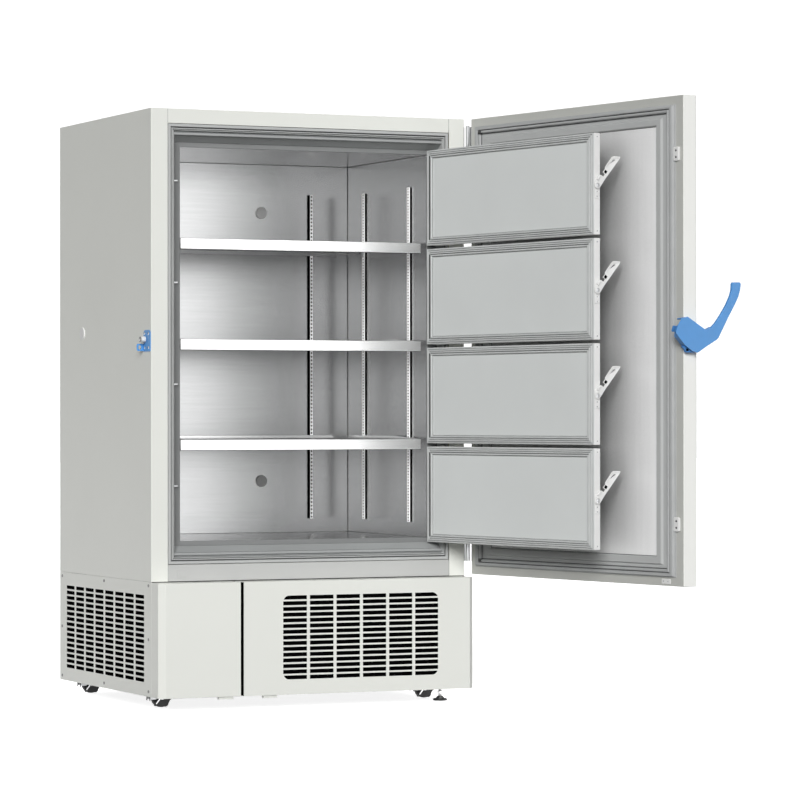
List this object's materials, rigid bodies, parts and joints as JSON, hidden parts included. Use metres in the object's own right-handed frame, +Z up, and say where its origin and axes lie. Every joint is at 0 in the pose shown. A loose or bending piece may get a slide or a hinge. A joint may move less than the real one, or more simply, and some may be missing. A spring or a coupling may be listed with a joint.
{
  "type": "ultra low temperature freezer",
  "caption": "Upright ultra low temperature freezer with an insulated outer door, inner doors with latches, shelves, a blue lever handle and a slotted refrigeration base on casters.",
  "frame": {"origin": "on the floor, under the middle of the cabinet", "axes": "+Z up, +X to the right of a person facing the cabinet's opening, +Y from the front to the back"},
  "size_m": [1.6268, 2.0994, 1.99],
  "materials": {
    "painted_steel": "fine-textured off-white powder coat",
    "frame_steel": "grey paint",
    "stainless": "brushed",
    "white_shelf": "white powder coat",
    "breaker_plastic": "moulded grey plastic",
    "inner_door_plastic": "pale grey foam-filled panel",
    "white_plastic": "satin white",
    "gasket_rubber": "soft grey",
    "foam": "rigid polyurethane foam",
    "blue_paint": "satin blue",
    "zinc_steel": "zinc plated",
    "black_plastic": "black",
    "black_paint": "satin black",
    "black_rubber": "black tread",
    "fins": "thin fins",
    "copper_tube": "copper",
    "filter_mesh": "open foam"
  },
  "bodies": {
    "cabinet": {"left_side_panel": "painted_steel", "right_side_panel": "painted_steel", "top_panel": "painted_steel", "deck_panel": "painted_steel", "back_panel": "painted_steel", "foam_insulation": "foam", "breaker_frame": "breaker_plastic", "inner_liner": "stainless", "shelf_pilasters": "zinc_steel", "shelf_clips": "zinc_steel", "shelves": "white_shelf", "port_plugs": "white_plastic", "evaporator_coil": "copper_tube", "latch_keepers": "zinc_steel", "striker_bracket": "blue_paint", "hinge_brackets": "zinc_steel", "inner_hinge_brackets": "zinc_steel", "base_frame": "frame_steel", "base_panels": "painted_steel", "base_screws": "zinc_steel", "front_cover": "painted_steel", "compressors": "black_paint", "condenser": "fins", "fan_motor": "black_paint", "control_box": "frame_steel", "power_inlet": "black_plastic"},
    "outer_door": {"door_skin": "painted_steel", "door_foam": "foam", "door_liner": "white_shelf", "door_gasket": "gasket_rubber", "door_hinge_leaves": "zinc_steel", "control_panel": "white_plastic", "handle_housing": "zinc_steel"},
    "handle": {"handle_lever": "blue_paint"},
    "striker_roller": {"striker_roller": "white_plastic"},
    "inner_hinge_pins": {"inner_hinge_pins": "zinc_steel"},
    "service_door": {"service_door": "painted_steel", "air_filter": "filter_mesh"},
    "condenser_fan": {"condenser_fan": "black_plastic"},
    "levelling_foot": {"levelling_foot": "zinc_steel"},
    "inner_door_1": {"inner_door_1": "inner_door_plastic", "latch_pivot_1": "zinc_steel"},
    "latch_lever_1": {"latch_lever_1": "white_plastic"},
    "inner_door_2": {"inner_door_2": "inner_door_plastic", "latch_pivot_2": "zinc_steel"},
    "latch_lever_2": {"latch_lever_2": "white_plastic"},
    "inner_door_3": {"inner_door_3": "inner_door_plastic", "latch_pivot_3": "zinc_steel"},
    "latch_lever_3": {"latch_lever_3": "white_plastic"},
    "inner_door_4": {"inner_door_4": "inner_door_plastic", "latch_pivot_4": "zinc_steel"},
    "latch_lever_4": {"latch_lever_4": "white_plastic"},
    "caster_fork_front_left": {"caster_fork_front_left": "zinc_steel"},
    "caster_wheel_front_left": {"caster_wheel_front_left": "black_rubber"},
    "caster_fork_front_right": {"caster_fork_front_right": "zinc_steel"},
    "caster_wheel_front_right": {"caster_wheel_front_right": "black_rubber"},
    "caster_fork_rear_left": {"caster_fork_rear_left": "zinc_steel"},
    "caster_wheel_rear_left": {"caster_wheel_rear_left": "black_rubber"},
    "caster_fork_rear_right": {"caster_fork_rear_right": "zinc_steel"},
    "caster_wheel_rear_right": {"caster_wheel_rear_right": "black_rubber"}
  },
  "joints": [
    {"name": "door_hinge", "type": "hinge", "parent": "cabinet", "child": "outer_door", "pos_m": [0.5822, -0.4629, 0], "axis": [0, 0, 1], "range_deg": [-100.2, 0]},
    {"name": "handle_pivot", "type": "hinge", "parent": "outer_door", "child": "handle", "pos_m": [0.80549, -1.61354, 1.223], "axis": [-0.1771, 0.9842, 0], "range_deg": [-40, 0]},
    {"name": "roller_spin", "type": "hinge", "parent": "cabinet", "child": "striker_roller", "pos_m": [-0.59, -0.4129, 1.226], "axis": [1, 0, 0], "continuous": true},
    {"name": "inner_swing", "type": "hinge", "parent": "cabinet", "child": "inner_hinge_pins", "pos_m": [0.4632, -0.429, 0], "axis": [0, 0, 1], "range_deg": [-99.85, 0.05]},
    {"name": "inner_door_1_hinge", "type": "hinge", "parent": "inner_hinge_pins", "child": "inner_door_1", "pos_m": [0.4632, -0.429, 0], "axis": [0, 0, -1], "range_deg": [0, 99.8]},
    {"name": "latch_1_lever", "type": "hinge", "parent": "inner_door_1", "child": "latch_lever_1", "pos_m": [0.61737, -1.34269, 1.71275], "axis": [-0.1702, 0.9854, 0], "range_deg": [-39.45, 0.05]},
    {"name": "inner_door_2_hinge", "type": "hinge", "parent": "inner_hinge_pins", "child": "inner_door_2", "pos_m": [0.4632, -0.429, 0], "axis": [0, 0, -1], "range_deg": [0, 99.8]},
    {"name": "latch_2_lever", "type": "hinge", "parent": "inner_door_2", "child": "latch_lever_2", "pos_m": [0.61737, -1.34269, 1.375], "axis": [-0.1702, 0.9854, 0], "range_deg": [-39.45, 0.05]},
    {"name": "inner_door_3_hinge", "type": "hinge", "parent": "inner_hinge_pins", "child": "inner_door_3", "pos_m": [0.4632, -0.429, 0], "axis": [0, 0, -1], "range_deg": [0, 99.8]},
    {"name": "latch_3_lever", "type": "hinge", "parent": "inner_door_3", "child": "latch_lever_3", "pos_m": [0.61737, -1.34269, 1.03725], "axis": [-0.1702, 0.9854, 0], "range_deg": [-39.45, 0.05]},
    {"name": "inner_door_4_hinge", "type": "hinge", "parent": "inner_hinge_pins", "child": "inner_door_4", "pos_m": [0.4632, -0.429, 0], "axis": [0, 0, -1], "range_deg": [0, 99.8]},
    {"name": "latch_4_lever", "type": "hinge", "parent": "inner_door_4", "child": "latch_lever_4", "pos_m": [0.61737, -1.34269, 0.6995], "axis": [-0.1702, 0.9854, 0], "range_deg": [-39.45, 0.05]},
    {"name": "service_door_hinge", "type": "hinge", "parent": "cabinet", "child": "service_door", "pos_m": [0.563, -0.468, 0], "axis": [0, 0, 1], "range_deg": [0, 95]},
    {"name": "fan_spin", "type": "hinge", "parent": "cabinet", "child": "condenser_fan", "pos_m": [0.16, -0.368, 0.262], "axis": [0, 1, 0], "continuous": true},
    {"name": "foot_turn", "type": "hinge", "parent": "cabinet", "child": "levelling_foot", "pos_m": [0.482, -0.449, 0], "axis": [0, 0, 1], "continuous": true},
    {"name": "caster_swivel_front_left", "type": "hinge", "parent": "cabinet", "child": "caster_fork_front_left", "pos_m": [-0.51, -0.31, 0.08], "axis": [0, 0, 1], "continuous": true},
    {"name": "caster_roll_front_left", "type": "hinge", "parent": "caster_fork_front_left", "child": "caster_wheel_front_left", "pos_m": [-0.485, -0.31, 0.032], "axis": [0, 1, 0], "continuous": true},
    {"name": "caster_swivel_front_right", "type": "hinge", "parent": "cabinet", "child": "caster_fork_front_right", "pos_m": [0.457, -0.313, 0.08], "axis": [0, 0, 1], "continuous": true},
    {"name": "caster_roll_front_right", "type": "hinge", "parent": "caster_fork_front_right", "child": "caster_wheel_front_right", "pos_m": [0.482, -0.313, 0.032], "axis": [0, 1, 0], "continuous": true},
    {"name": "caster_swivel_rear_left", "type": "hinge", "parent": "cabinet", "child": "caster_fork_rear_left", "pos_m": [-0.513, 0.372, 0.08], "axis": [0, 0, 1], "continuous": true},
    {"name": "caster_roll_rear_left", "type": "hinge", "parent": "caster_fork_rear_left", "child": "caster_wheel_rear_left", "pos_m": [-0.488, 0.372, 0.032], "axis": [0, 1, 0], "continuous": true},
    {"name": "caster_swivel_rear_right", "type": "hinge", "parent": "cabinet", "child": "caster_fork_rear_right", "pos_m": [0.46, 0.372, 0.08], "axis": [0, 0, 1], "continuous": true},
    {"name": "caster_roll_rear_right", "type": "hinge", "parent": "caster_fork_rear_right", "child": "caster_wheel_rear_right", "pos_m": [0.485, 0.372, 0.032], "axis": [0, 1, 0], "continuous": true}
  ],
  "couplings": [
    {"joint": "inner_swing", "follows": "door_hinge", "ratio": 0.99601},
    {"joint": "latch_1_lever", "follows": "door_hinge", "ratio": 0.39321},
    {"joint": "latch_2_lever", "follows": "door_hinge", "ratio": 0.39321},
    {"joint": "latch_3_lever", "follows": "door_hinge", "ratio": 0.39321},
    {"joint": "latch_4_lever", "follows": "door_hinge", "ratio": 0.39321}
  ]
}
